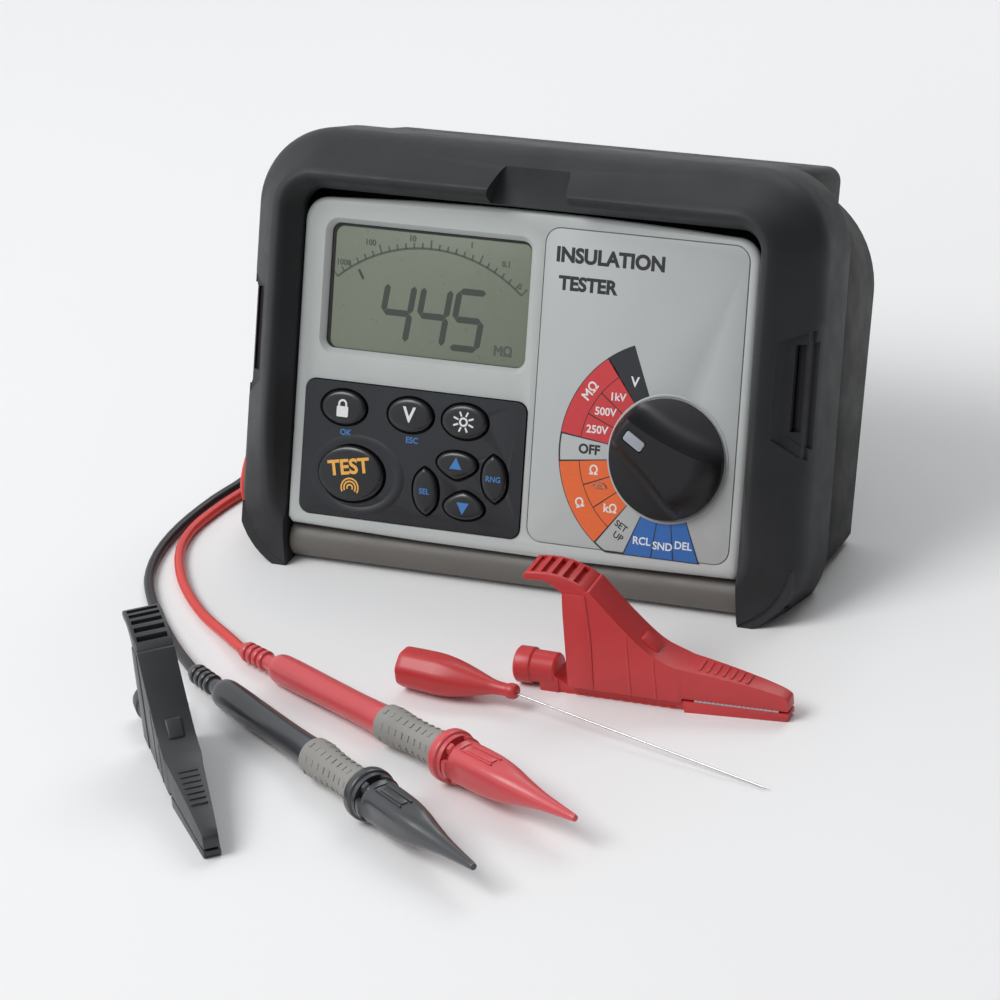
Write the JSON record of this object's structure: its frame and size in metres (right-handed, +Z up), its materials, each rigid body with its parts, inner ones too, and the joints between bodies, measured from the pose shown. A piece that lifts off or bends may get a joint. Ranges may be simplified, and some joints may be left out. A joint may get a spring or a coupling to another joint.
{
  "type": "insulation resistance tester",
  "caption": "Hand-held insulation tester leaning on its folded-back tray lid, with coiled test leads, probes and crocodile clips laid out in front.",
  "frame": {"origin": "middle of the kit's footprint on the floor, free cords left out", "axes": "+Z up, the display faces -Y and leans back, +X to the viewer's right"},
  "size_m": [0.2563, 0.3997, 0.136],
  "materials": {
    "case_charcoal": "fine moulded texture",
    "lid_charcoal": "fine moulded texture",
    "panel_grey": "satin",
    "label_grey": "printed film",
    "lcd_window": "clear gloss",
    "lcd_module": "satin",
    "keypad_black": "fine texture",
    "key_black": "satin",
    "keypad_mat": "matt",
    "knob_black": "satin",
    "pointer_grey": "satin",
    "shaft_ivory": "satin",
    "switch_blue": "satin",
    "board_green": "lacquered",
    "battery_can": "printed sleeve",
    "screw_steel": "plated",
    "pin_steel": "ground",
    "foot_rubber": "matt",
    "socket_black": "satin",
    "lead_red": "satin",
    "lead_black": "satin",
    "moulding_red": "satin",
    "moulding_black": "satin",
    "sleeve_grey": "ribbed matt",
    "tip_steel": "polished"
  },
  "bodies": {
    "tester": {"front_frame": "case_charcoal", "rear_shell": "case_charcoal", "battery_door": "case_charcoal", "front_panel": "panel_grey", "dial_label": "label_grey", "lcd_window": "lcd_window", "lcd_module": "lcd_module", "keypad_plate": "keypad_black", "keypad_mat": "keypad_mat", "rotary_switch": "switch_blue", "main_board": "board_green", "battery_1": "battery_can", "battery_2": "battery_can", "battery_3": "battery_can", "battery_4": "battery_can", "case_screw_1": "screw_steel", "case_screw_2": "screw_steel", "case_screw_3": "screw_steel", "case_screw_4": "screw_steel", "hinge_pin_left": "pin_steel", "hinge_pin_right": "pin_steel", "socket_block": "socket_black", "red_lead_rear": "lead_red", "red_coil": "lead_red", "red_lead_front": "lead_red", "red_plug": "moulding_red", "red_probe_handle": "moulding_red", "red_probe_sleeve": "sleeve_grey", "red_probe_tip": "tip_steel", "black_lead_rear": "lead_black", "black_coil": "lead_black", "black_lead_front": "lead_black", "black_plug": "moulding_black", "black_probe_handle": "moulding_black", "black_probe_sleeve": "sleeve_grey", "black_probe_tip": "tip_steel"},
    "lid": {"lid": "lid_charcoal", "rear_foot_left": "foot_rubber", "rear_foot_right": "foot_rubber"},
    "knob": {"selector_knob": "knob_black", "knob_pointer": "pointer_grey", "selector_shaft": "shaft_ivory"},
    "key_lock": {"button_lock": "key_black"},
    "key_volts": {"button_volts": "key_black"},
    "key_light": {"button_light": "key_black"},
    "key_test": {"button_test": "key_black"},
    "key_up": {"button_up": "key_black"},
    "key_right": {"button_right": "key_black"},
    "key_down": {"button_down": "key_black"},
    "key_left": {"button_left": "key_black"},
    "red_cap": {"red_probe_cap": "moulding_red"},
    "black_cap": {"black_probe_cap": "moulding_black"},
    "red_clip": {"red_clip_base": "moulding_red", "red_clip_pin": "moulding_red"},
    "red_jaw": {"red_clip_lever": "moulding_red"},
    "black_clip": {"black_clip_base": "moulding_black", "black_clip_pin": "moulding_black"},
    "black_jaw": {"black_clip_lever": "moulding_black"},
    "spare": {"spare_probe_cap": "moulding_red", "spare_needle": "tip_steel"}
  },
  "joints": [
    {"name": "lid_hinge", "type": "hinge", "parent": "tester", "child": "lid", "pos_m": [-0.01261, 0.03786, 0.00666], "axis": [-1, 0, 0], "range_deg": [0, 150]},
    {"name": "knob_turn", "type": "hinge", "parent": "tester", "child": "knob", "pos_m": [0.04159, 0.04112, 0.05075], "axis": [0, -0.9272, 0.3746], "range_deg": [-30, 135]},
    {"name": "lock_press", "type": "slide", "parent": "tester", "child": "key_lock", "axis": [0, 0.9272, -0.3746], "range_m": [0, 0.001], "stiffness_N_per_m": 1200},
    {"name": "volts_press", "type": "slide", "parent": "tester", "child": "key_volts", "axis": [0, 0.9272, -0.3746], "range_m": [0, 0.001], "stiffness_N_per_m": 1200},
    {"name": "light_press", "type": "slide", "parent": "tester", "child": "key_light", "axis": [0, 0.9272, -0.3746], "range_m": [0, 0.001], "stiffness_N_per_m": 1200},
    {"name": "test_press", "type": "slide", "parent": "tester", "child": "key_test", "axis": [0, 0.9272, -0.3746], "range_m": [0, 0.001], "stiffness_N_per_m": 1200},
    {"name": "up_press", "type": "slide", "parent": "tester", "child": "key_up", "axis": [0, 0.9272, -0.3746], "range_m": [0, 0.001], "stiffness_N_per_m": 1200},
    {"name": "right_press", "type": "slide", "parent": "tester", "child": "key_right", "axis": [0, 0.9272, -0.3746], "range_m": [0, 0.001], "stiffness_N_per_m": 1200},
    {"name": "down_press", "type": "slide", "parent": "tester", "child": "key_down", "axis": [0, 0.9272, -0.3746], "range_m": [0, 0.001], "stiffness_N_per_m": 1200},
    {"name": "left_press", "type": "slide", "parent": "tester", "child": "key_left", "axis": [0, 0.9272, -0.3746], "range_m": [0, 0.001], "stiffness_N_per_m": 1200},
    {"name": "red_cap_pull", "type": "slide", "parent": "tester", "child": "red_cap", "axis": [0.8903, -0.4531, 0.0444], "range_m": [0, 0.065]},
    {"name": "red_clip_lift", "type": "slide", "parent": "tester", "child": "red_clip", "axis": [0, 0, 1], "range_m": [0, 0.1]},
    {"name": "red_clip_squeeze", "type": "hinge", "parent": "red_clip", "child": "red_jaw", "pos_m": [0.05439, -0.02017, 0.0112], "axis": [0, -1, 0], "range_deg": [0, 8], "stiffness_Nm_per_rad": 0.5, "springref_deg": -11.46},
    {"name": "black_cap_pull", "type": "slide", "parent": "tester", "child": "black_cap", "axis": [0.8363, -0.5465, 0.0444], "range_m": [0, 0.065]},
    {"name": "black_clip_lift", "type": "slide", "parent": "tester", "child": "black_clip", "axis": [0, 0, 1], "range_m": [0, 0.1]},
    {"name": "black_clip_squeeze", "type": "hinge", "parent": "black_clip", "child": "black_jaw", "pos_m": [-0.06734, -0.10245, 0.0112], "axis": [-0.7771, -0.6293, 0], "range_deg": [0, 8], "stiffness_Nm_per_rad": 0.5, "springref_deg": -11.46},
    {"name": "spare_lift", "type": "slide", "parent": "tester", "child": "spare", "axis": [0, 0, 1], "range_m": [0, 0.1]}
  ]
}
